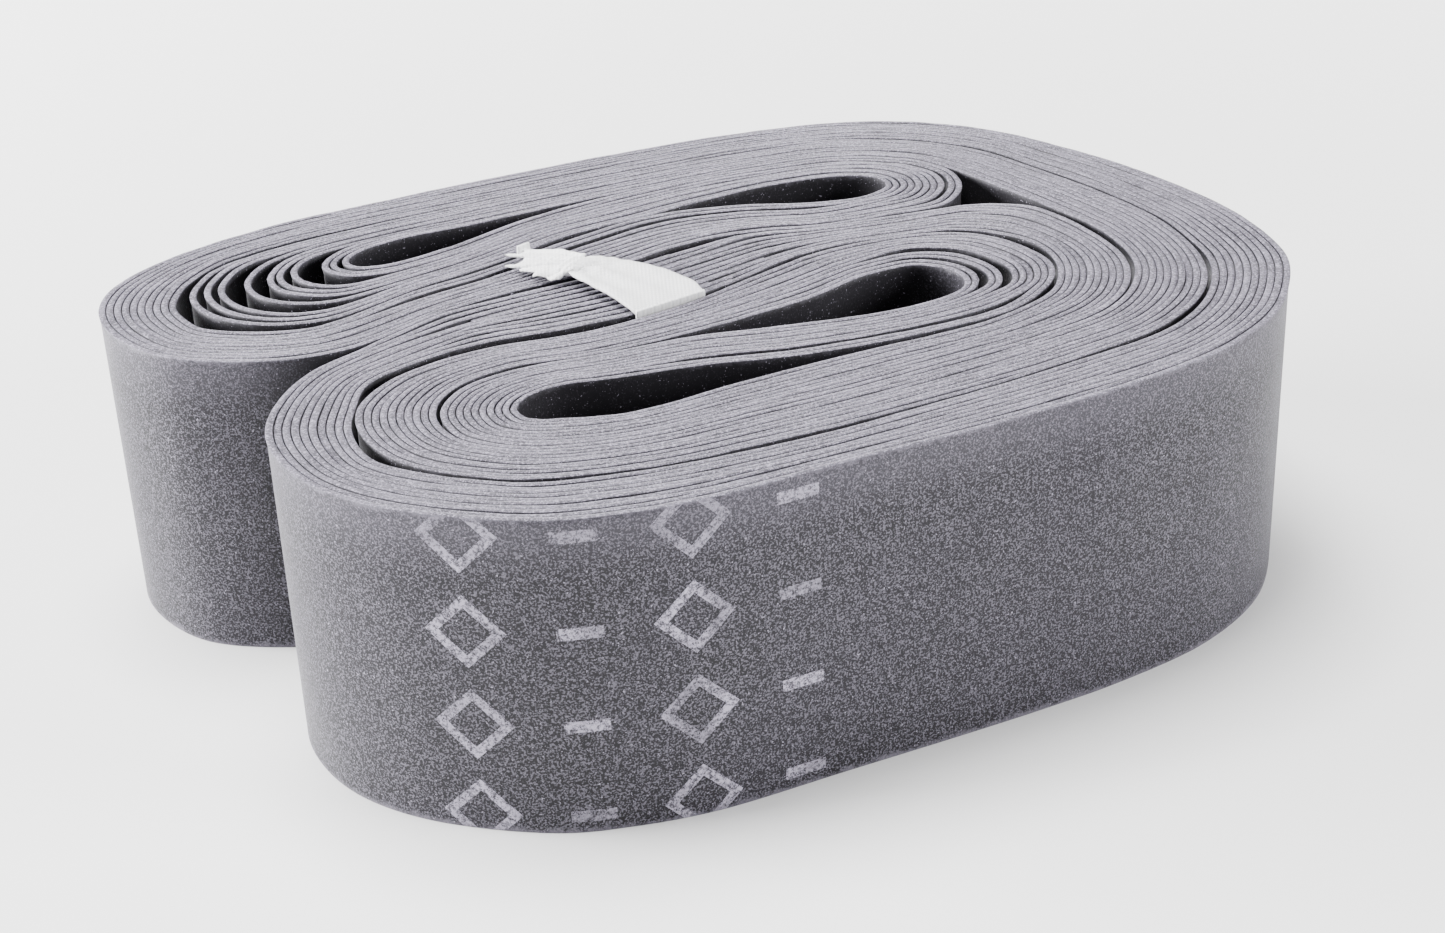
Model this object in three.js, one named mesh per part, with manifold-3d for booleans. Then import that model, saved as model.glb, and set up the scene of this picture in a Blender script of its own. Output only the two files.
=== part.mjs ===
// A hank of ten endless rubber rim bands, folded together on edge and tied round its middle.
// Millimetres, +Z up. The bands stand on their lower edges at z = 0, and x = y = 0 is the centre of the hank's box.
import * as THREE from "three";
import { mergeVertices } from "three/addons/utils/BufferGeometryUtils.js";
import Module from "manifold-3d";

// ---- driving dimensions ----
const BAND_COUNT = 10;
const BAND_WIDTH = 38; // height of the standing hank
const RUBBER = 0.56; // thickness of a band
const CLOSEST_PITCH = 0.6; // centre to centre of two bands that are pressed together
const GLUE_LINE = 0.04; // between a band and its patch
const TURN_PER_STEP = 0.55; // radians that a band may turn between two corners of its outline
const LONGEST_STEP = 16;
const PATCH_THICKNESS = 0.5;
const PATCH_HEIGHT = BAND_WIDTH - 0.6;
const VALVE_HOLE = 8; // diameter, through each band and its patch
const HOLE_SIDES = 12;
const TIE_THICKNESS = 0.35;
const TIE_RELIEF = 0.9; // how far the tied bands are lifted off the ground, with the tie passing under them

// ---- route of the bundle ----
// The ten bands lie side by side all the way along one closed route, folded back and forth.
// Each rung [x, y, x, y] runs across the bundle, from the first band to the tenth. Extra room is given as
// gaps: { band: millimetres between that band and the next one, over and above the even spacing }.
const ROUTE = [
  {
    // outer lap: right end, back, left lobe
    rungs: [
      [69.7, 3.0, 61.2, 3.0], [68.0, 12.0, 59.9, 9.8], [65.2, 19.0, 57.9, 15.9], [60.4, 27.0, 53.9, 22.8],
      [55.2, 34.2, 49.4, 29.4], [49.6, 40.2, 44.6, 35.3], [43.8, 45.8, 39.9, 41.0], [37.4, 49.8, 34.6, 44.6],
      [28.0, 53.0, 27.0, 47.5], [17.8, 53.5, 18.1, 48.0], [4.1, 50.6, 5.6, 45.3], [-15.9, 43.0, -13.7, 37.7],
      [-35.0, 34.6, -32.4, 29.2], [-53.2, 25.3, -50.2, 20.6], [-61.8, 19.0, -57.6, 14.9],
      [-66.7, 13.3, -60.2, 10.3], [-69.5, 7.5, -61.4, 6.0], [-69.6, 1.5, -61.3, 1.6],
      [-66.6, -5.2, -59.9, -1.3], [-60.0, -11.5, -56.8, -4.9], [-50.2, -13.7, -50.2, -6.5],
      [-43.0, -13.0, -44.0, -5.9], [-37.6, -10.4, -41.0, -4.1],
    ],
  },
  {
    // middle, up to the back bend
    gaps: { 8: 0.9 },
    rungs: [
      [-28.4, -2.2, -33.0, 3.1], [-22.2, 1.9, -26.3, 7.5], [-10.2, 7.9, -14.7, 16.9],
      [-1.2, 14.2, -4.5, 23.4], [7.0, 17.5, 5.6, 25.4], [16.2, 18.3, 15.5, 25.5],
    ],
  },
  {
    // back bend
    gaps: { 2: 0.35 },
    rungs: [
      [24.3, 20.7, 21.5, 26.6], [31.2, 23.2, 24.0, 28.4], [34.1, 28.5, 25.4, 30.3], [33.2, 34.6, 24.7, 32.8],
      [28.3, 38.9, 22.4, 34.2], [19.6, 40.8, 18.3, 34.5], [8.4, 38.2, 10.5, 32.5],
    ],
  },
  {
    // middle, down to the inside of the left lobe
    rungs: [
      [-2.6, 34.3, 1.0, 27.8], [-11.8, 29.6, -7.6, 22.8], [-21.3, 23.5, -15.8, 18.4],
      [-29.4, 16.2, -24.9, 10.3], [-36.2, 11.7, -33.4, 4.2],
    ],
  },
  {
    // loose loops inside the left lobe
    gaps: { 1: 0.8, 2: 0.2, 3: 3.2, 4: 0.9, 5: 0.3, 6: 2.0, 7: 2.4, 8: 0.8, 9: 0.9 },
    rungs: [
      [-40.3, 11.1, -42.0, -2.9], [-41.6, 11.9, -48.5, -4.2], [-42.2, 13.0, -55.5, -1.6],
      [-42.2, 14.3, -59.4, 4.6], [-41.4, 16.0, -57.4, 13.0], [-39.4, 18.0, -51.0, 18.4],
    ],
  },
  {
    // second lap: back, right end, front
    rungs: [
      [-35.3, 20.5, -40.0, 24.4], [-28.5, 23.3, -31.4, 28.6], [-12.2, 30.8, -14.6, 36.2],
      [7.8, 39.1, 6.0, 44.3], [19.4, 41.8, 18.3, 47.1], [28.9, 39.9, 31.2, 44.9], [34.1, 35.3, 38.8, 40.0],
      [38.8, 29.3, 44.2, 33.9], [44.2, 21.8, 51.0, 25.0], [50.1, 12.4, 57.1, 14.8], [52.4, 3.2, 59.8, 3.2],
      [50.9, -4.6, 58.3, -6.3], [46.9, -10.9, 52.3, -14.9], [38.6, -16.6, 42.2, -22.0],
      [24.0, -24.4, 27.0, -30.2], [8.2, -31.8, 10.4, -37.7], [-5.7, -37.6, -4.2, -43.0],
      [-16.5, -38.9, -16.6, -44.7],
    ],
  },
  {
    // round the front lobe and out along the tongue
    rungs: [
      [-24.9, -35.7, -29.8, -40.2], [-28.0, -30.5, -35.4, -32.3], [-27.9, -26.0, -35.8, -25.8],
      [-25.9, -22.2, -32.6, -19.8], [-20.2, -18.1, -24.0, -14.0], [-10.5, -15.5, -12.2, -10.2],
      [2.0, -9.9, -2.0, -4.7], [13.2, -3.4, 8.4, 3.9], [20.4, 2.7, 16.0, 9.6],
    ],
  },
  {
    // round the end of the tongue
    gaps: { 2: 1.0, 4: 1.1 },
    rungs: [
      [26.0, 5.0, 25.4, 13.2], [30.0, 3.6, 35.0, 12.7], [32.0, 0.8, 41.9, 4.5], [31.9, -2.2, 41.4, -1.8],
    ],
  },
  {
    // back along the tongue
    gaps: { 8: 0.8 },
    rungs: [
      [30.0, -4.5, 36.4, -8.7], [22.6, -8.3, 25.8, -14.0], [10.0, -11.3, 11.4, -18.5], [0.0, -12.9, 0.8, -19.9],
    ],
  },
  {
    // innermost turn of the front lobe, front, round the right end again
    rungs: [
      [-10.25, -16.4, -8.5, -21.9], [-19.3, -19.2, -15.5, -23.6], [-24.7, -22.9, -18.5, -26.0],
      [-27.0, -28.6, -19.6, -28.8], [-24.4, -34.9, -18.0, -31.6], [-16.5, -38.2, -14.8, -32.0],
      [-6.0, -36.7, -7.4, -31.3], [7.8, -30.9, 5.6, -25.0], [23.6, -23.5, 20.7, -17.9],
      [38.1, -15.8, 34.0, -11.9], [46.1, -10.2, 40.9, -5.7], [49.9, -4.2, 42.7, -2.1], [50.9, 3.8, 43.3, 4.3],
      [48.4, 11.7, 41.2, 10.2], [42.6, 20.6, 36.8, 13.6], [35.0, 22.4, 31.2, 15.1], [26.9, 20.2, 28.4, 14.55],
    ],
  },
  {
    // middle again, towards the patches
    patchesFollow: true,
    rungs: [[15.8, 17.35, 18.4, 12.1]],
  },
  {
    // the longest patches begin
    gaps: { 2: 0.65, 3: 0.65, 5: 0.65, 7: 0.65 },
    rungs: [[6.8, 16.2, 11.4, 8.4]],
  },
  {
    // a patch beside every band
    rungs: [[-0.2, 12.2, 5.0, 2.7], [-9.3, 6.4, -4.4, -4.2], [-21.2, 0.6, -15.2, -8.7]],
  },
  {
    // the longest patches end
    gaps: { 1: 0.65, 2: 0.65, 3: 0.65, 8: 0.65, 9: 0.65 },
    rungs: [[-29.4, -3.9, -24.2, -11.7]],
  },
  {
    // outer lap: front lobe, front, right end
    rungs: [
      [-36.8, -11.6, -31.0, -15.8], [-42.6, -18.0, -36.2, -21.2], [-45.4, -27.5, -37.0, -27.4],
      [-44.6, -34.8, -36.8, -32.6], [-39.4, -43.6, -33.8, -39.3], [-30.9, -49.6, -27.4, -43.2],
      [-16.5, -53.3, -16.8, -46.1], [0.2, -50.6, -1.9, -43.6], [14.6, -44.3, 11.9, -38.7],
      [29.2, -37.8, 25.9, -32.0], [46.5, -29.3, 42.0, -23.5], [57.4, -22.0, 52.5, -16.9],
      [65.0, -13.2, 57.7, -10.5], [68.5, -4.6, 60.4, -3.8],
    ],
  },
];

// A patch lies to the right of its band. Its two ends are counted in rungs from the rung before the patches, in
// quarters, first band first.
const PATCH_ENDS = [
  [2.25, 4], [2, 5], [1, 4.75], [1.25, 4.75], [2.25, 4], [1, 3.75], [2, 4], [1.25, 3.5], [2.25, 4.75], [2, 5],
];
const STEPS_AT_PATCHES = 4; // a patch ends only where its band has a corner

// ---- bands ----
// Where each band crosses a rung, as distances from the rung's first end. Bands cross an oblique rung further
// apart than they lie: across is the sine of the angle between the rung and the route.
function placesOnRung(spread, across, gaps) {
  const intervals = BAND_COUNT - 1;
  const wanted = Object.values(gaps).reduce((sum, gap) => sum + gap, 0);
  const spare = Math.max(0, spread - (intervals * CLOSEST_PITCH) / across);
  const share = wanted > 0 ? Math.min(1, spare / wanted) : 0;
  const pitch = (spread - share * wanted) / intervals;
  const places = [0];
  for (let band = 1; band <= intervals; band++) {
    places.push(places[band - 1] + pitch + share * (gaps[band] ?? 0));
  }
  return places;
}

const LADDER = ROUTE.flatMap(({ rungs, gaps = {}, patchesFollow = false }) =>
  rungs.map(([x1, y1, x2, y2]) => {
    const [first, last] = [new THREE.Vector3(x1, y1, 0), new THREE.Vector3(x2, y2, 0)];
    return { first, last, gaps, patchesFollow };
  }),
);
const FIRST_PATCH_RUNG = LADDER.findIndex(({ patchesFollow }) => patchesFollow);
const PATCH_RUNGS = Math.max(...PATCH_ENDS.flat());
const RUNGS = LADDER.map(({ first, last, gaps }, rung) => {
  const [before, after] = [LADDER.at(rung - 1), LADDER[(rung + 1) % LADDER.length]];
  const along = after.first.clone().add(after.last).sub(before.first).sub(before.last).normalize();
  const rungVector = last.clone().sub(first);
  const spread = rungVector.length();
  const across = rungVector.clone().cross(along).length() / spread;
  const places = placesOnRung(spread, across, gaps);
  return places.map((place) => first.clone().addScaledVector(rungVector, place / spread));
});

function bandCurve(band) {
  const points = RUNGS.map((rung) => rung[band]);
  return new THREE.CatmullRomCurve3(points, true, "centripetal");
}

const CURVES = Array.from({ length: BAND_COUNT }, (_, band) => bandCurve(band));

// All bands share these stations, so that neighbours keep their distance along the whole route.
function makeStations() {
  const stations = [];
  const edges = [CURVES[0], CURVES[BAND_COUNT - 1]];
  for (let rung = 0; rung < RUNGS.length; rung++) {
    const start = rung / RUNGS.length;
    const end = (rung + 1) / RUNGS.length;
    const steps = edges.map((curve) => {
      const turn = curve.getTangent(start).angleTo(curve.getTangent(end));
      const reach = curve.getPoint(start).distanceTo(curve.getPoint(end % 1));
      return Math.max(turn / TURN_PER_STEP, reach / LONGEST_STEP);
    });
    const atPatches = rung >= FIRST_PATCH_RUNG && rung < FIRST_PATCH_RUNG + PATCH_RUNGS;
    const count = atPatches ? STEPS_AT_PATCHES : Math.ceil(Math.max(1, ...steps));
    for (let step = 0; step < count; step++) stations.push(start + ((end - start) * step) / count);
  }
  return stations;
}

const STATIONS = makeStations();

// A point of a band's middle surface in plan, moved sideways by offset, to the left of the route.
function sidePoint(curve, station, offset) {
  const tangent = curve.getTangent(station);
  return curve.getPoint(station).add(new THREE.Vector3(-tangent.y, tangent.x, 0).multiplyScalar(offset));
}

// Where a band's patch begins and ends along the route.
function patchReach(band) {
  return PATCH_ENDS[band].map((rungs) => (FIRST_PATCH_RUNG + rungs) / RUNGS.length);
}

// ---- tie ----
// Each section is the pair of edges of the cloth strip, [x, y, x, y, z]: down into the front slit, under the
// bundle, up through the back slit and over the top.
const TIE_TOP = BAND_WIDTH + 0.5;
const TIE_BOTTOM = 0.45;
const FRONT_SLIT = [-6.6, -6.45, 1.3, -1.25];
const BACK_SLIT = [-21.9, 12.0, -17.9, 15.5];
const TIE_SECTIONS = [
  [...FRONT_SLIT, TIE_TOP], [...FRONT_SLIT, TIE_BOTTOM], [...BACK_SLIT, TIE_BOTTOM], [...BACK_SLIT, TIE_TOP],
  [-19.8, 10.6, -16.9, 13.2, TIE_TOP], [-15.9, 5.4, -13.7, 8.6, TIE_TOP + 0.2],
  [-13.1, 1.2, -10.4, 7.4, TIE_TOP + 0.4], [-9.3, -3.4, -3.0, 4.0, TIE_TOP + 0.2],
];
const TIE_KNOT = { x: -13.9, y: 5.3, z: BAND_WIDTH + 1.3, sizes: [2.3, 2.5, 1.0], sides: [12, 8] };
const TIE_TAILS = [
  // from the knot to the torn end, half as wide at the knot as at the end: [x, y, width]
  { to: [-21.6, 11.8], width: 3.6 },
  { to: [-20.8, 7.2], width: 3.8 },
];
const TIE_LINE = [new THREE.Vector3(-3.0, -3.1, 0), new THREE.Vector3(-20.4, 13.7, 0)];
const TIE_REACH = 6.5; // half the breadth of the strip of ground that the tie lies on
const TIE_FADE = 9; // beyond it, the bands come back down to the ground over this distance

// ---- solids ----
// A closed solid through sections of four corners each; a ring joins its last section to its first.
function sweptSolid(sections, ring) {
  const position = sections.flatMap((corners) => corners.flatMap((corner) => corner.toArray()));
  const index = [];
  const last = ring ? sections.length : sections.length - 1;
  for (let section = 0; section < last; section++) {
    const here = section * 4;
    const next = ((section + 1) % sections.length) * 4;
    for (let corner = 0; corner < 4; corner++) {
      const other = (corner + 1) % 4;
      index.push(here + corner, next + other, here + other, here + corner, next + corner, next + other);
    }
  }
  if (!ring) {
    const end = last * 4;
    index.push(0, 1, 2, 0, 2, 3, end, end + 2, end + 1, end, end + 3, end + 2);
  }
  const geometry = new THREE.BufferGeometry();
  geometry.setAttribute("position", new THREE.Float32BufferAttribute(position, 3));
  geometry.setIndex(index);
  return geometry;
}

// How high the lower edge of the rubber stands above the ground at a point of the plan.
function liftAt(point) {
  const nearest = new THREE.Line3(...TIE_LINE).closestPointToPoint(point, true, new THREE.Vector3());
  const away = point.distanceTo(nearest);
  return TIE_RELIEF * (1 - THREE.MathUtils.smoothstep(away, TIE_REACH, TIE_REACH + TIE_FADE));
}

// An upright strip of rubber: its two faces lie at the offsets inner and outer from a band's middle surface.
function uprightSections(curve, stations, right, left, margin) {
  return stations.map((station) => {
    const bottom = liftAt(curve.getPoint(station)) + margin;
    const top = BAND_WIDTH - margin;
    const [a, b] = [right, left].map((offset) => sidePoint(curve, station, offset));
    return [a.clone().setZ(bottom), a.clone().setZ(top), b.clone().setZ(top), b.clone().setZ(bottom)];
  });
}

function bandGeometry(band) {
  return sweptSolid(uprightSections(CURVES[band], STATIONS, -RUBBER / 2, RUBBER / 2, 0), true);
}

function patchGeometry(band) {
  const [from, to] = patchReach(band);
  const slack = 1e-6;
  const stations = STATIONS.filter((station) => station > from - slack && station < to + slack);
  const near = -RUBBER / 2 - GLUE_LINE;
  const margin = (BAND_WIDTH - PATCH_HEIGHT) / 2;
  return sweptSolid(uprightSections(CURVES[band], stations, near - PATCH_THICKNESS, near, margin), false);
}

// ---- joining and cutting ----
const SAME_POINT = 1e-4;
const wasm = await Module();
wasm.setup();

function toManifold(geometry) {
  const bare = geometry.clone();
  bare.deleteAttribute("normal");
  bare.deleteAttribute("uv");
  const merged = mergeVertices(bare, SAME_POINT);
  return new wasm.Manifold(
    new wasm.Mesh({
      numProp: 3,
      vertProperties: new Float32Array(merged.attributes.position.array),
      triVerts: new Uint32Array(merged.index.array),
    }),
  );
}

function fromManifold(solid) {
  const { vertProperties, triVerts } = solid.getMesh();
  const geometry = new THREE.BufferGeometry();
  geometry.setAttribute("position", new THREE.BufferAttribute(vertProperties, 3));
  geometry.setIndex(new THREE.BufferAttribute(triVerts, 1));
  return geometry;
}

// The valve hole goes through a band and its patch, half way along the patch.
function withValveHole(geometry, band) {
  const [from, to] = patchReach(band);
  const station = (from + to) / 2;
  const centre = CURVES[band].getPoint(station).setZ(BAND_WIDTH / 2);
  const through = 4 * RUBBER;
  const drill = new THREE.CylinderGeometry(VALVE_HOLE / 2, VALVE_HOLE / 2, through, HOLE_SIDES);
  const across = sidePoint(CURVES[band], station, 1).setZ(BAND_WIDTH / 2).sub(centre);
  drill.applyQuaternion(new THREE.Quaternion().setFromUnitVectors(new THREE.Vector3(0, 1, 0), across));
  drill.translate(centre.x, centre.y, centre.z);
  return fromManifold(toManifold(geometry).subtract(toManifold(drill)));
}

// A ribbon through the given pairs of edges, half its thickness to each side of them.
function ribbonSections(edgePairs, ring) {
  const pairs = edgePairs.map(([x1, y1, x2, y2, z]) => [
    new THREE.Vector3(x1, y1, z),
    new THREE.Vector3(x2, y2, z),
  ]);
  const middles = pairs.map(([a, b]) => a.clone().add(b).multiplyScalar(0.5));
  return pairs.map(([a, b], section) => {
    const before = middles.at(ring ? section - 1 : Math.max(0, section - 1));
    const after = middles[ring ? (section + 1) % middles.length : Math.min(middles.length - 1, section + 1)];
    const normal = b.clone().sub(a).cross(after.clone().sub(before)).setLength(TIE_THICKNESS / 2);
    return [a.clone().add(normal), a.clone().sub(normal), b.clone().sub(normal), b.clone().add(normal)];
  });
}

function tailGeometry({ to, width }) {
  const root = new THREE.Vector2(TIE_KNOT.x, TIE_KNOT.y);
  const end = new THREE.Vector2(...to);
  const side = end.clone().sub(root).normalize().rotateAround(new THREE.Vector2(), Math.PI / 2);
  const edges = [0, 0.5, 1].map((share) => {
    const middle = root.clone().lerp(end, share);
    const toEdge = side.clone().multiplyScalar((width / 4) * (1 + share));
    const z = THREE.MathUtils.lerp(TIE_KNOT.z, TIE_TOP + TIE_THICKNESS, share);
    return [middle.x - toEdge.x, middle.y - toEdge.y, middle.x + toEdge.x, middle.y + toEdge.y, z];
  });
  return sweptSolid(ribbonSections(edges, false), false);
}

function tieGeometry() {
  const knot = new THREE.SphereGeometry(1, ...TIE_KNOT.sides);
  knot.scale(...TIE_KNOT.sizes);
  knot.translate(TIE_KNOT.x, TIE_KNOT.y, TIE_KNOT.z);
  const pieces = [sweptSolid(ribbonSections(TIE_SECTIONS, true), true), knot, ...TIE_TAILS.map(tailGeometry)];
  return fromManifold(pieces.map(toManifold).reduce((whole, piece) => whole.add(piece)));
}

const rubber = { color: 0x4b4a50, roughness: 0.86, metalness: 0 };
const cloth = { color: 0xe9e8e4, roughness: 0.95, metalness: 0 };
const group = new THREE.Group();
function addPart(name, geometry, look) {
  geometry.computeVertexNormals();
  const mesh = new THREE.Mesh(geometry, new THREE.MeshStandardMaterial(look));
  mesh.name = name;
  group.add(mesh);
}
for (let band = 0; band < BAND_COUNT; band++) {
  const number = String(band + 1).padStart(2, "0");
  addPart(`rim_band_${number}`, withValveHole(bandGeometry(band), band), rubber);
  addPart(`valve_patch_${number}`, withValveHole(patchGeometry(band), band), rubber);
}
addPart("tie_strip", tieGeometry(), cloth);

export default group;
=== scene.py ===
"""The looks of the tied hank of rubber rim bands: fine bands and patches, a torn cloth tie, studio light."""
import math

import bmesh
import bpy
import numpy as np
from mathutils import Matrix, Vector, kdtree, noise


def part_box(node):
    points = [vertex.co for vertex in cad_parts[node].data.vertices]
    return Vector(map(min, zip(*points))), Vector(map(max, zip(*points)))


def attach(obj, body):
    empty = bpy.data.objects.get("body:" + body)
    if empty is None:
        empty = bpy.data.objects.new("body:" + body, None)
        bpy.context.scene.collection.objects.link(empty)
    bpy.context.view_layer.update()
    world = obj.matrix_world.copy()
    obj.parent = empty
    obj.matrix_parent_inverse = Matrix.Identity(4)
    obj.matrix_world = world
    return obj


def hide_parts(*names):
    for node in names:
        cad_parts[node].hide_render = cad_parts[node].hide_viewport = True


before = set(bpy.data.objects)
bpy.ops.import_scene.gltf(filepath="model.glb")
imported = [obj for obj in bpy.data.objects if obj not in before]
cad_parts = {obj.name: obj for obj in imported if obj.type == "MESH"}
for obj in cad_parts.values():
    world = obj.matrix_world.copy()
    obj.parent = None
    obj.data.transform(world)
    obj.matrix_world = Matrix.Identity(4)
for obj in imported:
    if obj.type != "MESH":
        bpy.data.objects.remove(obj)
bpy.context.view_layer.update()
MM = 0.001

# ---- camera ----
SENSOR, LENS = 36.0, 62.284
CAMERA_AT = Vector((2.5, -268.1, 156.9)) * MM
CAMERA_DOWN = math.radians(28.0)
CAMERA_ROLL = math.radians(-2.58)


def make_camera():
    data = bpy.data.cameras.new("camera")
    data.sensor_width = SENSOR
    data.lens = LENS
    data.clip_start, data.clip_end = 0.01, 10
    camera = bpy.data.objects.new("camera", data)
    bpy.context.scene.collection.objects.link(camera)
    forward = Vector((0, math.cos(CAMERA_DOWN), -math.sin(CAMERA_DOWN)))
    up = Vector((0, math.sin(CAMERA_DOWN), math.cos(CAMERA_DOWN)))
    right = Vector((1, 0, 0))
    x = right * math.cos(CAMERA_ROLL) + up * math.sin(CAMERA_ROLL)
    y = up * math.cos(CAMERA_ROLL) - right * math.sin(CAMERA_ROLL)
    turn = Matrix((x, y, -forward)).transposed().to_4x4()
    camera.matrix_world = Matrix.Translation(CAMERA_AT) @ turn
    bpy.context.scene.camera = camera


# ---- shader helpers ----
class Nodes:
    """A material's node tree, with one short call for each kind of node."""

    def __init__(self, name):
        self.material = bpy.data.materials.new(name)
        self.material.use_nodes = True
        self.tree = self.material.node_tree
        self.shader = self.tree.nodes["Principled BSDF"]

    def put(self, socket, value):
        """Links value to the socket if it is another socket, and sets it there if not."""
        if isinstance(value, bpy.types.NodeSocket):
            self.tree.links.new(value, socket)
        else:
            socket.default_value = value

    def place(self, output="Object"):
        return self.tree.nodes.new("ShaderNodeTexCoord").outputs[output]

    def noise(self, place, scale, detail=3.0, roughness=0.6):
        """Noise from 0 to 1, with scale in waves per metre."""
        node = self.tree.nodes.new("ShaderNodeTexNoise")
        self.put(node.inputs["Vector"], place)
        node.inputs["Scale"].default_value = scale
        node.inputs["Detail"].default_value = detail
        node.inputs["Roughness"].default_value = roughness
        return node.outputs["Fac"]

    def math(self, operation, a, b=0.0, c=0.0, clamp=False):
        node = self.tree.nodes.new("ShaderNodeMath")
        node.operation, node.use_clamp = operation, clamp
        for socket, value in zip(node.inputs, (a, b, c)):
            self.put(socket, value)
        return node.outputs[0]

    def ramp(self, value, low, high, to_low=0.0, to_high=1.0):
        """A smooth step from to_low to to_high, as value goes from low to high."""
        node = self.tree.nodes.new("ShaderNodeMapRange")
        node.interpolation_type = "SMOOTHSTEP"
        for name, given in (("Value", value), ("From Min", low), ("From Max", high),
                            ("To Min", to_low), ("To Max", to_high)):
            self.put(node.inputs[name], given)
        return node.outputs["Result"]

    def mix(self, share, a, b):
        node = self.tree.nodes.new("ShaderNodeMix")
        node.data_type = "RGBA"
        for name, given in (("Factor", share), ("A", a), ("B", b)):
            self.put(node.inputs[name], given)
        return node.outputs["Result"]

    def attribute(self, name):
        node = self.tree.nodes.new("ShaderNodeAttribute")
        node.attribute_name = name
        return node.outputs["Fac"]

    def split(self, vector):
        node = self.tree.nodes.new("ShaderNodeSeparateXYZ")
        self.put(node.inputs[0], vector)
        return node.outputs

    def bump(self, height, strength, distance):
        node = self.tree.nodes.new("ShaderNodeBump")
        self.put(node.inputs["Height"], height)
        node.inputs["Strength"].default_value = strength
        node.inputs["Distance"].default_value = distance
        self.put(self.shader.inputs["Normal"], node.outputs["Normal"])


def grey(level):
    """A grey with the rubber's slight violet cast."""
    return (level, 0.93 * level, 1.16 * level, 1.0)


# ---- rubber ----
BAND_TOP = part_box("rim_band_01")[1].z
# painted shade: the first colour on the next line and the second talc colour on the line after are darker
# copies of the face and its talc, for faces under another layer
PAINTED_SHADE, CHARCOAL, DUSTED = grey(0.005), grey(0.007), grey(0.016)
OPEN_DUST, PAINTED_SHADE_DUST, RIM_DUST = grey(0.15), grey(0.08), grey(0.17)
CUT_DARK, CUT_PALE, CUT_DUST, CUT_PIT = 0.062, 0.14, grey(0.42), grey(0.020)
TALC, PRINT = grey(0.45), grey(0.42)
# how fine each pattern is, in waves per metre
CLOUDS, GRAIN, FINE, SPECKS, RAGGED, STREAKS, STREAKS_MORE = 42, 4600, 2300, 3900, 650, 150, 11
# talc on a face near its cut edges: how ragged its border is, how far it reaches and how soft it is
RIM_RAGGED, RIM_REACH = 0.9 * MM, 0.6 * MM
SOFT_RIM = 8 * MM
CUT_STEP, CUT_VARIES = 2.4, 0.16  # how the tone of the cut edges differs from band to band
RUBBER_BUMP = 0.12 * MM


def make_rubber(name, number, print_at=None):
    n = Nodes(name)
    place = n.place()
    height = n.split(place)[2]
    upward = n.math("ABSOLUTE", n.split(n.place("Normal"))[2])
    cloud = n.noise(place, CLOUDS, 3)
    grain = n.noise(place, GRAIN, 1, 0.6)
    fine = n.noise(place, FINE, 3, 0.75)
    speck = n.ramp(n.noise(place, SPECKS, 1, 0.5), 0.69, 0.78)

    # the faces: charcoal, with fine talc wiped over it where they are open, and painted shade, a darker copy
    # of face and talc, under another layer
    dust = n.math("MULTIPLY_ADD", fine, 0.25, n.math("MULTIPLY", grain, 0.75))
    face = n.mix(n.ramp(cloud, 0.25, 0.75), CHARCOAL, DUSTED)
    face = n.mix(n.math("MULTIPLY", n.ramp(dust, 0.46, 0.64), 0.8), face, OPEN_DUST)
    # painted shade: a darker copy of the face and its talc, used under another layer
    shaded_face = n.mix(n.math("MULTIPLY", n.ramp(dust, 0.60, 0.70), 0.5), PAINTED_SHADE, PAINTED_SHADE_DUST)
    face = n.mix(n.attribute("open"), shaded_face, face)
    face = n.mix(n.math("MULTIPLY", speck, 0.75), face, TALC)
    if print_at is not None:
        face = n.mix(printed_marks(n, place, print_at), face, PRINT)

    # a little more talc where a face meets its cut edges, dimmed by the painted shade under another layer
    ragged = n.ramp(n.noise(place, RAGGED, 4, 0.8), 0.3, 0.7, 0.0, RIM_RAGGED)
    rim_top = n.ramp(n.math("ADD", height, ragged), BAND_TOP - RIM_REACH, BAND_TOP + RIM_REACH)
    rim_bottom = n.ramp(n.math("SUBTRACT", height, ragged), 0.4 * MM, -RIM_REACH)
    soft_top = n.math("MULTIPLY", n.ramp(height, BAND_TOP - SOFT_RIM, BAND_TOP), 0.22)
    rim = n.math("MAXIMUM", n.math("MULTIPLY", n.math("MAXIMUM", rim_top, rim_bottom), 0.7), soft_top)
    # painted shade: the rim talc is dimmed under another layer
    rim = n.math("MULTIPLY", rim, n.ramp(n.attribute("open"), 0, 1, 0.4, 1))
    face = n.mix(rim, face, RIM_DUST)

    # the cut edges: mid grey, grainy and streaked, and a little different on each band
    streak = n.noise(place, STREAKS + STREAKS_MORE * number, 4, 0.7)
    tone = 1.0 + CUT_VARIES * math.sin(CUT_STEP * number)
    cut = n.mix(n.ramp(streak, 0.33, 0.68), grey(CUT_DARK * tone), grey(CUT_PALE * tone))
    cut = n.mix(n.math("MULTIPLY", n.ramp(grain, 0.46, 0.62), 0.75), cut, CUT_DUST)
    cut = n.mix(n.math("MULTIPLY", n.ramp(fine, 0.50, 0.64), 0.75), cut, CUT_PIT)
    colour = n.mix(n.ramp(upward, 0.35, 0.8), face, cut)
    n.put(n.shader.inputs["Base Color"], colour)
    n.put(n.shader.inputs["Roughness"], n.ramp(cloud, 0.3, 0.7, 0.50, 0.66))
    n.shader.inputs["Specular IOR Level"].default_value = 0.22
    n.shader.inputs["Sheen Weight"].default_value = 0.3
    n.shader.inputs["Sheen Roughness"].default_value = 0.3
    n.shader.inputs["Sheen Tint"].default_value = (0.96, 0.95, 1, 1)
    n.bump(n.math("MULTIPLY_ADD", grain, 0.5, fine), 0.4, RUBBER_BUMP)
    return n.material


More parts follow.
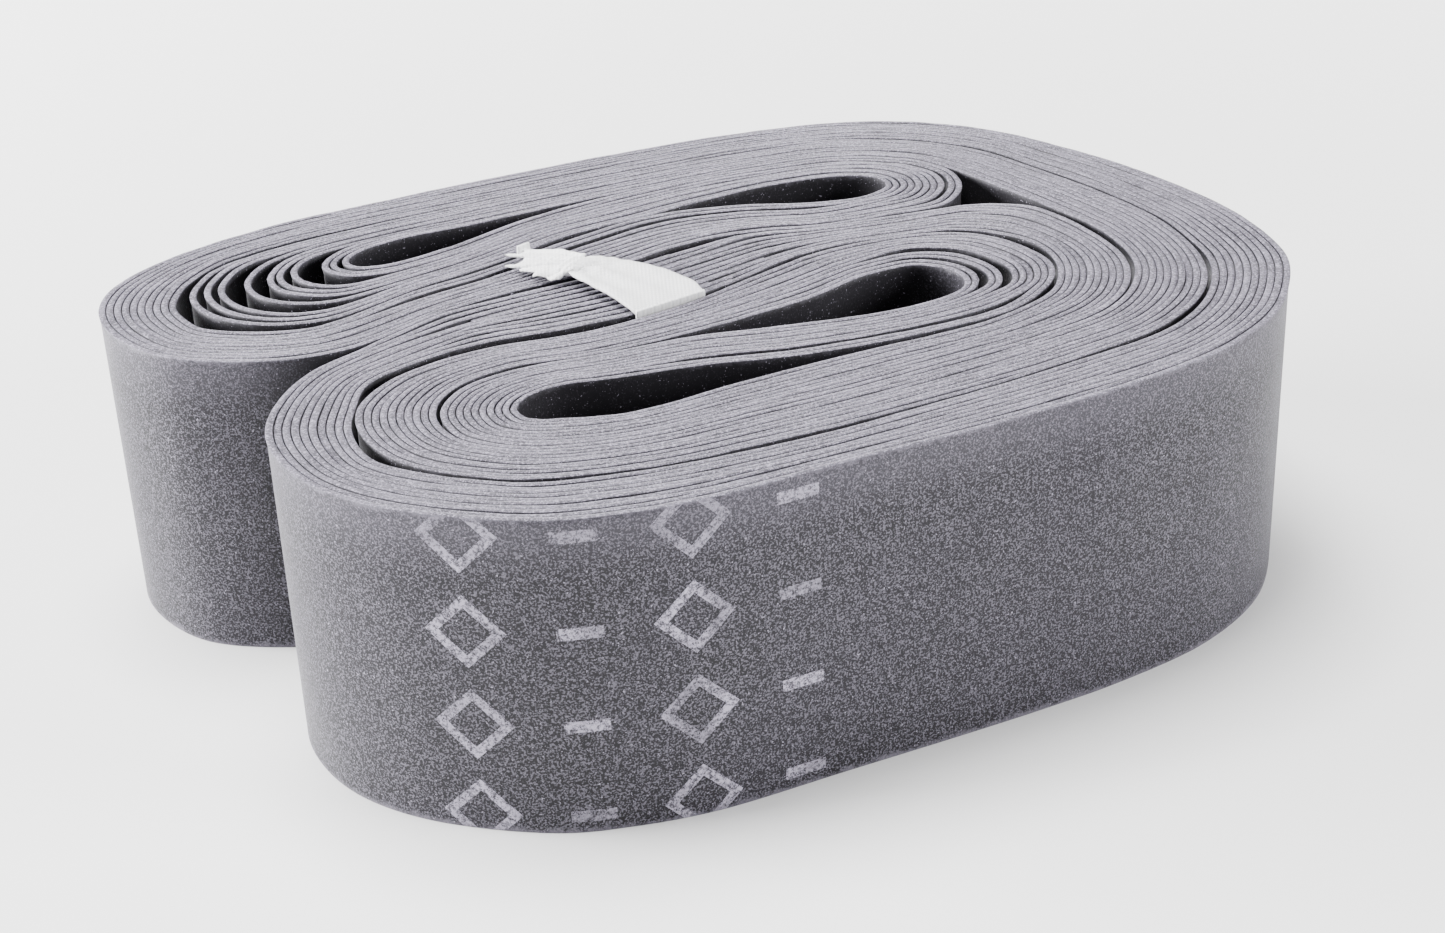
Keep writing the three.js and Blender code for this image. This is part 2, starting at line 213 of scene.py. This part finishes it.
# ---- worn print on the outer face: rows of plain diamonds and short bars ----
PRINT_BEFORE = 16 * MM  # how far before its centre the print starts
PRINT_COLUMN, PRINT_COLUMNS, PRINT_ROW = 11.8 * MM, 4, 11.2 * MM
PRINT_DROP = 3.5 * MM
DIAMOND_REACH, STROKE = 3.6 * MM, 0.75 * MM
BAR_HALF = (2.4 * MM, 0.7 * MM)


def printed_marks(n, place, print_at):
    """How strongly a mark shows. print_at is the band's length, and the distance along it to the print."""
    total, centre = print_at
    along = n.math("MULTIPLY_ADD", n.split(n.place("UV"))[0], total, PRINT_BEFORE - centre)
    column = n.math("DIVIDE", along, PRINT_COLUMN)
    inside = n.math("MULTIPLY", n.math("GREATER_THAN", column, 0.0),
                    n.math("LESS_THAN", column, float(PRINT_COLUMNS)))
    odd = n.math("GREATER_THAN", n.math("MODULO", column, 2.0), 1.0)
    even = n.math("SUBTRACT", 1.0, odd)
    x = n.math("MULTIPLY", n.math("SUBTRACT", n.math("FRACT", column), 0.5), PRINT_COLUMN)
    row = n.math("DIVIDE", n.math("ADD", n.split(place)[2], PRINT_DROP), PRINT_ROW)
    y = n.math("MULTIPLY", n.math("SUBTRACT", n.math("FRACT", row), 0.5), PRINT_ROW)
    across, up = n.math("ABSOLUTE", x), n.math("ABSOLUTE", y)
    away = n.math("SUBTRACT", n.math("ADD", across, up), DIAMOND_REACH)
    diamond = n.math("LESS_THAN", n.math("ABSOLUTE", away), STROKE)
    bar = n.math("MULTIPLY", n.math("LESS_THAN", across, BAR_HALF[0]),
                 n.math("LESS_THAN", up, BAR_HALF[1]))
    shape = n.math("ADD", n.math("MULTIPLY", diamond, even), n.math("MULTIPLY", bar, odd))
    worn = n.ramp(n.noise(place, 2100, 3, 0.9), 0.40, 0.58, 0.05, 1.0)
    patchy = n.ramp(n.noise(place, 80, 2), 0.35, 0.6, 0.45, 1.0)
    wear = n.math("MULTIPLY", worn, patchy)
    return n.math("MULTIPLY", n.math("MULTIPLY", shape, inside), wear, clamp=True)


# ---- cloth ----
TIE_TURN = math.radians(42)
THREAD_PITCH = 0.62 * MM
CLOTH_DIM, CLOTH_WHITE, THREAD_GAP = (0.84, 0.84, 0.86, 1), (0.93, 0.93, 0.93, 1), (0.78, 0.78, 0.80, 1)
CLOTH_BUMP = 0.06 * MM


def make_cloth():
    """A plain weave whose threads run roughly along and across the tie."""
    n = Nodes("tie_cloth")
    place = n.place()
    turned = n.tree.nodes.new("ShaderNodeMapping")
    turned.inputs["Rotation"].default_value = (0, 0, TIE_TURN)
    n.put(turned.inputs["Vector"], place)
    x, y, _ = n.split(turned.outputs["Vector"])
    thread = 2 * math.pi / THREAD_PITCH
    warp = n.math("SINE", n.math("MULTIPLY", x, thread))
    weft = n.math("SINE", n.math("MULTIPLY", y, thread))
    weave = n.math("MULTIPLY", warp, weft)
    uneven = n.noise(place, 700, 3)
    white = n.mix(uneven, CLOTH_DIM, CLOTH_WHITE)
    n.put(n.shader.inputs["Base Color"], n.mix(n.ramp(weave, 0.2, -0.9), white, THREAD_GAP))
    n.shader.inputs["Roughness"].default_value = 0.95
    n.shader.inputs["Sheen Weight"].default_value = 0.3
    n.bump(n.math("MULTIPLY_ADD", uneven, 0.8, weave), 0.5, CLOTH_BUMP)
    return n.material


# ---- bands ----
STEP = 1.1 * MM
CUT_ROUNDING = 0.07 * MM
RIM = 0.9 * MM  # how far below the upper cut edge its flare begins
# how unevenly the upper cut edge stands: the height of its waves, and its long and short waves per metre
UNEVEN, LONG_WAVES, SHORT_WAVES, SHORT_SHARE = 0.16 * MM, 60, 350, 0.35
LONG_SEED, SHORT_SEED = 3.7, 9.1
# how far a cut edge looks for its neighbour, the gap that it keeps to it, and the most that it spreads
FLARE_REACH, FLARE_CLEAR, FLARE_MOST = 1.8 * MM, 0.035 * MM, 0.12 * MM
OWN_POINTS = 6  # points so near along a band belong to the same stretch of it
# a test for layers in front of a face, which places the painted shade: its step, its reach,
# and how many points to each side it is averaged over
OPEN_STEP, OPEN_REACH, OPEN_BLUR = 1.5 * MM, 17 * MM, 4
OPEN_NEAR = OPEN_STEP * 0.6
LEVEL = 0.9  # the least upward part of the normal of a level face
SAME_HEIGHT = 0.1 * MM
SHORTEST = 1e-6  # keeps two points in one place from dividing by nothing


def edge_loops(node):
    """The outlines of a node's top face, largest first, each point with its lower edge; and the top."""
    mesh = node.data
    co = np.array([v.co for v in mesh.vertices])
    top = co[:, 2].max()
    keys = [tuple(np.round(c[:2] / MM, 3)) for c in co]
    lowest = {}
    for key, c in zip(keys, co):
        lowest[key] = min(c[2], lowest.get(key, c[2]))
    border = {}
    for face in mesh.polygons:
        if face.normal.z < LEVEL or min(co[i][2] for i in face.vertices) < top - SAME_HEIGHT:
            continue
        corners = [keys[i] for i in face.vertices]
        for a, b in zip(corners, corners[1:] + corners[:1]):
            if (b, a) in border:
                del border[(b, a)]
            else:
                border[(a, b)] = True
    after = {a: b for a, b in border}
    loops = []
    while after:
        here, loop = next(iter(after)), []
        while here in after:
            loop.append((here[0] * MM, here[1] * MM, lowest[here]))
            here = after.pop(here)
        loops.append(np.array(loop))
    return sorted(loops, key=lambda loop: -abs(plan_area(loop))), top


def plan_area(loop):
    """The area inside an outline in plan, less than 0 if it runs clockwise."""
    x, y = loop[:, 0], loop[:, 1]
    return 0.5 * float(np.sum(x * np.roll(y, -1) - y * np.roll(x, -1)))


def between(values, times, at, reach):
    """One round of the curve's mixing: each pair of values, mixed by how near their times are to at."""
    return [(times[j + reach] - at) / (times[j + reach] - times[j]) * a
            + (at - times[j]) / (times[j + reach] - times[j]) * b
            for j, (a, b) in enumerate(zip(values, values[1:]))]


def smooth_loop(points, step):
    """Points every step or so along a centripetal Catmull-Rom curve round a closed outline."""
    out = []
    count = len(points)
    for i in range(count):
        p = [points[(i + k - 1) % count] for k in range(4)]
        times = [0.0]
        for a, b in zip(p, p[1:]):
            times.append(times[-1] + max(SHORTEST, math.sqrt(np.linalg.norm((b - a)[:2]))))
        pieces = max(1, round(np.linalg.norm((p[2] - p[1])[:2]) / step))
        for k in range(pieces):
            at = times[1] + (times[2] - times[1]) * k / pieces
            near = between(p, times, at, 1)
            out += between(between(near, times, at, 2), times[1:], at, 1)
    return np.array(out)


def plan_normals(points):
    """At each point of a closed line, the direction in plan to the left of the way it runs."""
    ahead = np.roll(points, -1, 0) - np.roll(points, 1, 0)
    ahead = ahead[:, :2] / np.linalg.norm(ahead[:, :2], axis=1, keepdims=True)
    return np.stack([-ahead[:, 1], ahead[:, 0]], 1)


def trace_band(node):
    """A band's fine middle line, and what its sweep needs. Lengths start at the right end of the hank."""
    (outer, inner), top = edge_loops(node)
    length = np.sum(np.linalg.norm((np.roll(outer, -1, 0) - outer)[:, :2], axis=1))
    thickness = abs(abs(plan_area(outer)) - abs(plan_area(inner))) / length
    if plan_area(outer) < 0:
        outer = outer[::-1]
    outer = np.roll(outer, -int(np.argmax(outer[:, 0])), axis=0)
    line = smooth_loop(outer, STEP)
    normals = plan_normals(line)
    middle = line[:, :2] + normals * thickness / 2
    along = np.concatenate([[0], np.cumsum(np.linalg.norm(np.diff(middle, axis=0), axis=1))])
    total = along[-1] + np.linalg.norm(middle[0] - middle[-1])
    low = np.maximum(line[:, 2], 0)
    return {"line": middle, "normals": normals, "along": along, "total": total, "low": low, "top": top,
            "thickness": thickness}


def room_beside(runs):
    """Marks the open faces, all others getting painted shade, and gives the gap from each band's points to
    what is on the right and left.
    """
    tree = kdtree.KDTree(sum(len(run["line"]) for run in runs))
    owners = [(band, i) for band, run in enumerate(runs) for i in range(len(run["line"]))]
    for index, (band, i) in enumerate(owners):
        tree.insert((*runs[band]["line"][i], 0), index)
    tree.balance()
    rooms = []
    for band, run in enumerate(runs):
        count, room = len(run["line"]), np.full((len(run["line"]), 2), FLARE_REACH)
        for i, (point, normal) in enumerate(zip(run["line"], run["normals"])):
            for place, index, _ in tree.find_range((*point, 0), FLARE_REACH):
                other, j = owners[index]
                if other == band and min((i - j) % count, (j - i) % count) < OWN_POINTS:
                    continue
                away = np.array(place[:2]) - point
                across = float(away @ normal)
                if abs(away[0] * normal[1] - away[1] * normal[0]) < STEP:
                    side = 1 if across > 0 else 0
                    room[i, side] = min(room[i, side], abs(across) - run["thickness"])
        kept = np.min([np.roll(room, shift, 0) for shift in (-1, 0, 1)], axis=0)
        rooms.append(np.mean([np.roll(kept, shift, 0) for shift in (-2, -1, 0, 1, 2)], axis=0))
    # at first every face gets painted shade; band 1's open right face is then spared
    for run in runs:
        run["open"] = np.zeros(len(run["line"]))
    mark_unshaded(runs[0], tree)
    return rooms


def mark_unshaded(run, tree):
    """Marks where nothing stands in front of a band's right face: 1 in the open, 0 behind another layer,
    where the face gets painted shade.
    """
    is_unshaded = np.ones(len(run["line"]))
    for i, (point, normal) in enumerate(zip(run["line"], run["normals"])):
        for away in np.arange(OPEN_STEP, OPEN_REACH, OPEN_STEP):
            if tree.find((*(point - normal * away), 0))[2] < OPEN_NEAR:
                is_unshaded[i] = 0
                break
    run["open"] = np.mean([np.roll(is_unshaded, shift) for shift in range(-OPEN_BLUR, OPEN_BLUR + 1)], axis=0)


def strip_profile(thickness):
    """A strip's section: across, up from the lower or the upper edge, and 1 at the upper edge."""
    h, r = thickness / 2, CUT_ROUNDING
    return [(-h, RIM, 0), (-h, r, 0), (r - h, 0, 0), (h - r, 0, 0), (h, r, 0), (h, RIM, 0),
            (h, -RIM, 1), (h, -r, 1), (h - r, 0, 1), (r - h, 0, 1), (-h, -r, 1), (-h, -RIM, 1)]


def wave(line, scale, seed):
    return np.array([noise.noise(Vector((x * scale, y * scale, seed))) for x, y in line])


def make_band(number, run, room):
    """A band with rounded edges, whose upper cut edge is flared a little and stands a little unevenly."""
    middle, normals = run["line"], run["normals"]
    wander = wave(middle, LONG_WAVES, number * LONG_SEED)
    ripple = wave(middle, SHORT_WAVES, number * SHORT_SEED)
    z_top = run["top"] - UNEVEN * (1 + wander + SHORT_SHARE * ripple)
    flare = np.clip(room / 2 - FLARE_CLEAR, 0, FLARE_MOST)
    profile = strip_profile(run["thickness"])
    sides = len(profile)
    vertices = np.zeros((len(middle), sides, 3))
    for k, (across, up, at_top) in enumerate(profile):
        spread = np.zeros(len(middle))
        if at_top and up > -RIM:
            spread = np.where(across < 0, -flare[:, 0], flare[:, 1])
        vertices[:, k, :2] = middle + normals * (across + spread)[:, None]
        vertices[:, k, 2] = (z_top if at_top else run["low"]) + up
    faces, uvs = [], []
    shares = np.append(run["along"] / run["total"], 1.0)
    for i in range(len(middle)):
        j = (i + 1) % len(middle)
        for k in range(sides):
            m = (k + 1) % sides
            faces.append((i * sides + k, j * sides + k, j * sides + m, i * sides + m))
            uvs += [(shares[i], k / sides), (shares[i + 1], k / sides), (shares[i + 1], (k + 1) / sides),
                    (shares[i], (k + 1) / sides)]
    band = make_piece(f"band_{number:02d}", vertices.reshape(-1, 3), faces, uvs)
    # painted shade goes where this is 0: on every left face, and on right faces behind another layer
    on_right = np.array([across < 0 for across, _, _ in profile])
    is_unshaded = band.data.attributes.new("open", "FLOAT", "POINT")
    is_unshaded.data.foreach_set("value", (run["open"][:, None] * on_right).astype(np.float32).ravel())
    return band


def make_piece(name, vertices, faces, uvs=None):
    """A smooth-shaded object whose faces all point outwards."""
    mesh = bpy.data.meshes.new(name)
    mesh.from_pydata([tuple(v) for v in vertices], [], faces)
    if uvs is not None:
        layer = mesh.uv_layers.new(name="along")
        layer.data.foreach_set("uv", np.array(uvs, np.float32).ravel())
    mesh.polygons.foreach_set("use_smooth", [True] * len(mesh.polygons))
    outward = bmesh.new()
    outward.from_mesh(mesh)
    bmesh.ops.recalc_face_normals(outward, faces=outward.faces)
    outward.to_mesh(mesh)
    outward.free()
    mesh.update()
    piece = bpy.data.objects.new(name, mesh)
    bpy.context.scene.collection.objects.link(piece)
    return piece


# ---- valve patches ----
PATCH_THICKNESS, GLUE_LINE = 0.5 * MM, 0.04 * MM
BAND_THICKNESS = 0.56 * MM


def make_patch(number, node, run):
    """A patch bonded to its band, with blunt ends, as long as its CAD node says."""
    (outline,), top = edge_loops(node)
    lengths = np.linalg.norm((np.roll(outline, -1, 0) - outline)[:, :2], axis=1)
    ends = [(outline[k] + outline[(k + 1) % len(outline)])[:2] / 2 for k in np.argsort(lengths)[:2]]
    line, normals = run["line"], run["normals"]
    first, last = sorted(int(np.argmin(np.linalg.norm(line - end, axis=1))) for end in ends)
    if last - first > len(line) / 2:
        picked = [*range(last, len(line)), *range(first + 1)]
    else:
        picked = list(range(first, last + 1))
    towards = outline[:, :2].mean(0) - line[picked].mean(0)
    side = np.sign(np.sum(towards * normals[picked].mean(0)))
    offset = side * (BAND_THICKNESS / 2 + GLUE_LINE + PATCH_THICKNESS / 2)
    middle = line[picked] + normals[picked] * offset
    low = run["low"][picked] + (run["top"] - (top - outline[:, 2].min())) / 2
    profile = strip_profile(PATCH_THICKNESS)
    count = len(profile)
    vertices = np.zeros((len(picked), count, 3))
    for k, (across, up, at_top) in enumerate(profile):
        vertices[:, k, :2] = middle + normals[picked] * across
        vertices[:, k, 2] = (top if at_top else low) + up
    faces = [tuple(range(count))[::-1], tuple((len(picked) - 1) * count + k for k in range(count))]
    for i in range(len(picked) - 1):
        for k in range(count):
            m = (k + 1) % count
            faces.append((i * count + k, (i + 1) * count + k, (i + 1) * count + m, i * count + m))
    return make_piece(f"patch_{number:02d}", vertices.reshape(-1, 3), faces)


# ---- tie ----
CLOTH = 0.3 * MM
CREASES, FINE_CREASES, FINE_CREASE_SHARE = 420, 1100, 0.4  # waves per metre, and the share of the fine ones
LOOP_ROWS, LOOP_COLUMNS, LOOP_LOWEST = 240, 28, 0.45 * MM
LOOP_GATHERS, GATHERS_START, LOOP_CREASE_SHARE = 5, 0.6, 1.2
FRONT_SLIT = ((-6.6, -6.45), (1.3, -1.25))
BACK_SLIT = ((-21.2, 12.6), (-19.9, 13.7))
# the loop's way over the top, down one slit, under the hank and up the other, in millimetres: the places in
# plan of its two edges, their height, and how deep the cloth's gathers are
TIE_LOOP = [
    (*FRONT_SLIT, 20, 0), (*FRONT_SLIT, 36.8, 0), (*FRONT_SLIT, 37.9, 0.02),
    ((-7.0, -6.1), (0.9, -0.6), 38.30, 0.03), ((-7.6, -5.4), (-0.2, 1.3), 38.55, 0.06),
    ((-9.3, -3.3), (-3.6, 4.2), 38.9, 0.14), ((-11.2, -1.0), (-7.2, 6.2), 39.1, 0.22),
    ((-13.2, 1.4), (-10.6, 7.4), 39.25, 0.30), ((-14.6, 3.2), (-12.9, 7.3), 39.3, 0.34),
    ((-15.4, 4.5), (-13.9, 7.6), 39.1, 0.30), ((-16.9, 7.6), (-15.2, 9.9), 38.6, 0.14),
    ((-19.6, 11.0), (-18.4, 12.2), 38.45, 0.05), ((-20.8, 12.2), (-19.6, 13.3), 38.25, 0.02),
    (*BACK_SLIT, 37.6, 0), (*BACK_SLIT, 20, 0), (*BACK_SLIT, 1.0, 0),
    ((-21.0, 12.2), (-18.1, 14.75), 0.45, 0), ((-14.0, 3.4), (-8.6, 7.0), 0.45, 0),
    ((-7.2, -5.8), (0.8, -0.7), 0.45, 0), (*FRONT_SLIT, 1.0, 0),
]
# the torn end, in millimetres: the two ends of its root, then its teeth and the notches between them
TAIL_ROOT = ((-14.0, 3.3), (-12.7, 7.3))
TAIL_TEETH = [
    (-15.6, 3.1), (-16.8, 3.2), (-17.3, 3.9), (-18.9, 4.2), (-18.6, 5.3), (-20.6, 6.4), (-20.1, 7.1),
    (-22.4, 7.6), (-20.3, 8.8), (-20.0, 9.9), (-22.6, 11.0), (-20.4, 11.2), (-19.9, 11.7), (-21.0, 13.3),
    (-18.9, 12.2), (-16.6, 10.4),
]
TAIL_ROWS, TOOTH_POINTS = 22, 4
TAIL_HEIGHT, TAIL_DROP, TAIL_DROP_POWER = 39.75, 1.15, 1.3
TAIL_PLEAT, TAIL_PLEATS = 0.26, 9
TAIL_CREASE = 0.30 * MM
# the knot, in millimetres: its centre, how far it reaches along the tie, across it and up, and its folds
KNOT_AT, KNOT_REACH = (-13.9, 5.3, 39.35), (1.38, 2.45, 0.75)
KNOT_ROWS, KNOT_COLUMNS = 40, 24
KNOT_FOLD, KNOT_FOLDS, KNOT_TWIST = 0.06, 9, 2
KNOT_LEAST = 0.15  # keeps the knot's two ends from closing to a point


def spline(points, share):
    """A point of the Catmull-Rom curve through closed points; share runs from 0 to 1."""
    count = len(points)
    i = int(share * count) % count
    t = share * count - int(share * count)
    a, b, c, d = (points[(i + k - 1) % count] for k in range(4))
    return 0.5 * (2 * b + (c - a) * t + (2 * a - 5 * b + 4 * c - d) * t**2 + (3 * b - a - 3 * c + d) * t**3)


def thicken(name, grid, closed, thickness):
    """Cloth of the given thickness round a grid of points, whose last row meets the first if it is closed."""
    rows, columns, _ = grid.shape
    if closed:
        ahead = np.roll(grid, -1, 0) - np.roll(grid, 1, 0)
    else:
        ahead = np.gradient(grid, axis=0)
    normal = np.cross(ahead, np.gradient(grid, axis=1))
    normal /= np.linalg.norm(normal, axis=2, keepdims=True)
    half = normal * thickness / 2
    vertices = np.concatenate([grid + half, grid - half], 1).reshape(-1, 3)
    width = 2 * columns  # a row's points on the cloth's one side, then those on its other
    faces = []
    for i in range(rows if closed else rows - 1):
        here, after = i * width, (i + 1) % rows * width
        under, under_after = here + columns, after + columns
        for k in range(columns - 1):
            faces.append((here + k, here + k + 1, after + k + 1, after + k))
            faces.append((under + k, under_after + k, under_after + k + 1, under + k + 1))
        for k, m in ((0, columns), (width - 1, columns - 1)):
            faces.append((here + k, after + k, after + m, here + m))
    if not closed:
        for here, turn in ((0, 1), ((rows - 1) * width, -1)):
            for k in range(here, here + columns - 1):
                faces.append((k, k + columns, k + columns + 1, k + 1)[::turn])
    return make_piece(name, vertices, faces)


def crumple(grid, depth):
    """The grid with small random creases, up and down only, as deep in each row as depth says."""
    out = grid.copy()
    for i, row in enumerate(grid):
        for k, p in enumerate(row):
            fine = FINE_CREASE_SHARE * depth[i] * noise.noise(Vector(p) * FINE_CREASES)
            out[i, k, 2] += depth[i] * noise.noise(Vector(p) * CREASES) + fine
    return out


def make_tie_loop():
    """The strip that goes round the hank, gathered towards the knot."""
    edges = [np.array([[*row[side], row[2]] for row in TIE_LOOP]) * MM for side in (0, 1)]
    gathers = np.array([row[3] for row in TIE_LOOP]) * MM
    share = np.linspace(0, 1, LOOP_COLUMNS)
    grid, depth = [], []
    for i in range(LOOP_ROWS):
        a, b = (spline(edge, i / LOOP_ROWS) for edge in edges)
        deep = max(0.0, spline(gathers, i / LOOP_ROWS))
        line = a + (b - a) * share[:, None]
        folds = np.sin(share * math.pi * LOOP_GATHERS + GATHERS_START)
        line[:, 2] += deep * folds * np.sin(share * math.pi) ** 0.5
        line[:, 2] = np.maximum(line[:, 2], LOOP_LOWEST)
        grid.append(line)
        depth.append(deep * LOOP_CREASE_SHARE)
    return thicken("tie_loop", crumple(np.array(grid), depth), True, CLOTH)


def make_tie_tail():
    """The torn end of the strip, which fans out from the knot, pleated at its root and ragged at its edge."""
    teeth = np.array(TAIL_TEETH) * MM
    edge = [np.linspace(a, b, TOOTH_POINTS, endpoint=False) for a, b in zip(teeth, teeth[1:])]
    ends = np.concatenate(edge + [teeth[-1:]])
    share = np.linspace(0, 1, len(ends))[:, None]
    roots = np.array(TAIL_ROOT[0]) * MM * (1 - share) + np.array(TAIL_ROOT[1]) * MM * share
    grid = np.zeros((TAIL_ROWS, len(ends), 3))
    for i, out in enumerate(np.linspace(0, 1, TAIL_ROWS)):
        grid[i, :, :2] = roots * (1 - out) + ends * out
        pleats = TAIL_PLEAT * (1 - out) * np.sin(share[:, 0] * math.pi * TAIL_PLEATS)
        grid[i, :, 2] = (TAIL_HEIGHT - TAIL_DROP * out**TAIL_DROP_POWER + pleats) * MM
    return thicken("tie_tail", crumple(grid, [TAIL_CREASE] * TAIL_ROWS), False, CLOTH * 0.8)


def make_knot():
    """The pinch where the strip is drawn through itself: one turn of cloth in folds."""
    rows, columns = KNOT_ROWS, KNOT_COLUMNS
    (cx, cy, cz), (rx, ry, rz) = KNOT_AT, KNOT_REACH
    vertices = []
    for i in range(rows):
        angle = 2 * math.pi * i / rows
        for k in range(columns):
            share = k / (columns - 1) * 2 - 1
            folds = 1 + KNOT_FOLD * math.sin(KNOT_FOLDS * share + angle * KNOT_TWIST)
            swell = math.sqrt(max(KNOT_LEAST, 1 - share**4)) * folds
            along, across, up = rx * share, ry * swell * math.cos(angle), rz * swell * math.sin(angle)
            x = cx - along * math.sin(TIE_TURN) + across * math.cos(TIE_TURN)
            y = cy + along * math.cos(TIE_TURN) + across * math.sin(TIE_TURN)
            vertices.append((x * MM, y * MM, (cz + up) * MM))
    starts = [i * columns for i in range(rows)]
    faces = [tuple(starts), tuple(start + columns - 1 for start in starts[::-1])]
    for i in range(rows):
        j = (i + 1) % rows
        for k in range(columns - 1):
            faces.append((i * columns + k, i * columns + k + 1, j * columns + k + 1, j * columns + k))
    return make_piece("tie_knot", vertices, faces)


# ---- assembly ----
def finish_piece(piece, node, material):
    """Puts a piece in the frame. It stands for node, unless that is None."""
    piece.data.materials.append(material)
    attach(piece, "root")
    if node:
        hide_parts(node)


def make_hank():
    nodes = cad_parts
    count = sum(name.startswith("rim_band_") for name in nodes)
    runs = [trace_band(nodes[f"rim_band_{number:02d}"]) for number in range(1, count + 1)]
    for number, (run, room) in enumerate(zip(runs, room_beside(runs)), 1):
        band_name, patch_name = f"rim_band_{number:02d}", f"valve_patch_{number:02d}"
        print_at = None
        if number == 1:
            print_at = (run["total"], run["along"][int(np.argmin(run["line"][:, 1]))])
        rubber = make_rubber(f"band_rubber_{number:02d}", number, print_at)
        finish_piece(make_band(number, run, room), band_name, rubber)
        finish_piece(make_patch(number, nodes[patch_name], run), patch_name, rubber)


def make_tie():
    cloth = make_cloth()
    loop, tail, knot = make_tie_loop(), make_tie_tail(), make_knot()
    finish_piece(loop, "tie_strip", cloth)
    finish_piece(tail, None, cloth)
    finish_piece(knot, None, cloth)


make_camera()
make_hank()
make_tie()


# ---- floor and light ----
TABLE_HALF = 3.0
TABLE_DIM, TABLE_BRIGHT = (0.94, 0.94, 0.94, 1), (0.96, 0.96, 0.96, 1)
WHITE = (1, 1, 1, 1)
GLOW_FROM, GLOW_FULL, GLOW = 0.10, 0.34, 1.1  # where the table's glow starts and is full, and its strength
SURROUND = 0.25
# each light's place, what it points at, its size and its power
LIGHTS = {
    "overhead": ((-0.10, 0.10, 0.75), (0, 0, 0.03), (0.4, 0.4), 15),
    "left": ((-0.75, 0.02, 0.20), (-0.02, 0, 0.02), (0.40, 0.30), 24),
    "right": ((0.80, -0.20, 0.28), (0.02, 0, 0.02), (0.35, 0.30), 10),
}


def make_floor():
    """A white table that glows all round the hank, and not under it."""
    mesh = bpy.data.meshes.new("floor")
    corners = [(x * TABLE_HALF, y * TABLE_HALF, 0) for x, y in ((-1, -1), (1, -1), (1, 1), (-1, 1))]
    mesh.from_pydata(corners, [], [(0, 1, 2, 3)])
    floor = bpy.data.objects.new("floor", mesh)
    bpy.context.scene.collection.objects.link(floor)
    n = Nodes("floor")
    tone = n.noise(n.place(), 9, 2)
    n.put(n.shader.inputs["Base Color"], n.mix(tone, TABLE_DIM, TABLE_BRIGHT))
    n.shader.inputs["Emission Color"].default_value = WHITE
    far = n.tree.nodes.new("ShaderNodeVectorMath")
    far.operation = "LENGTH"
    n.put(far.inputs[0], n.place())
    glow = n.ramp(far.outputs["Value"], GLOW_FROM, GLOW_FULL, 0.0, GLOW)
    n.put(n.shader.inputs["Emission Strength"], glow)
    n.shader.inputs["Roughness"].default_value = 0.6
    mesh.materials.append(n.material)


def add_area(name, at, aim, size, power):
    data = bpy.data.lights.new(name, "AREA")
    data.shape, data.size, data.size_y = "RECTANGLE", size[0], size[1]
    data.energy = power
    light = bpy.data.objects.new(name, data)
    bpy.context.scene.collection.objects.link(light)
    light.location = at
    light.rotation_mode = "QUATERNION"
    light.rotation_quaternion = (Vector(aim) - Vector(at)).to_track_quat("-Z", "Y")


def make_light():
    world = bpy.data.worlds.new("white surround")
    bpy.context.scene.world = world
    world.use_nodes = True
    surround = world.node_tree.nodes["Background"]
    surround.inputs["Color"].default_value = WHITE
    surround.inputs["Strength"].default_value = SURROUND
    for name, light in LIGHTS.items():
        add_area(name, *light)


make_floor()
make_light()
